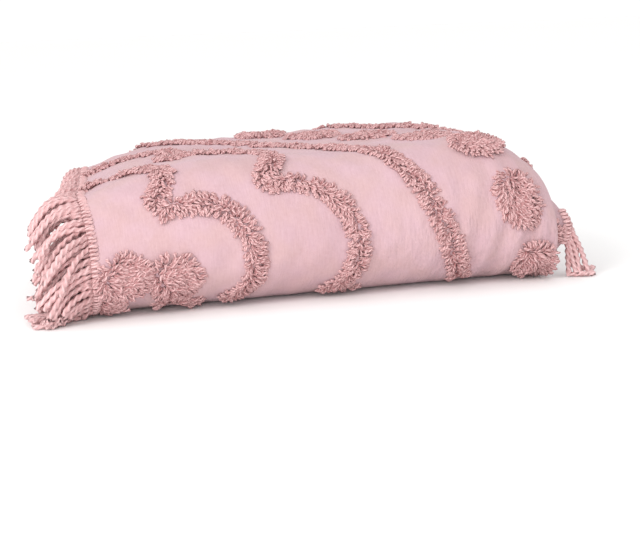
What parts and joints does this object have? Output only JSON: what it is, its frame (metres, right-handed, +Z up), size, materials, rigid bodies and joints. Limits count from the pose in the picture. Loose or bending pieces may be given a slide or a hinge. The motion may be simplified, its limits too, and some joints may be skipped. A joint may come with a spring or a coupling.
{
  "type": "folded bedspread",
  "caption": "Tufted cotton bedspread folded into a thick bundle, with scalloped rings of raised tufts on its right side and a twisted fringe along its hem.",
  "frame": {"origin": "middle of the cloth's flat underside, on the surface that the bundle lies on", "axes": "+X along the bundle from the fringed hem to the folded end, +Y from the round fold to the back, +Z up"},
  "size_m": [0.7538, 0.4392, 0.1946],
  "materials": {
    "tufted_cotton": "matt woven cotton with tufts of cut yarn, dusty pink",
    "fringe_yarn": "matt twisted cotton yarn, dusty pink"
  },
  "bodies": {
    "root": {"tufted_cloth": "tufted_cotton", "fringe_at_left_hem": "fringe_yarn", "fringe_at_right_hem": "fringe_yarn"}
  },
  "joints": []
}
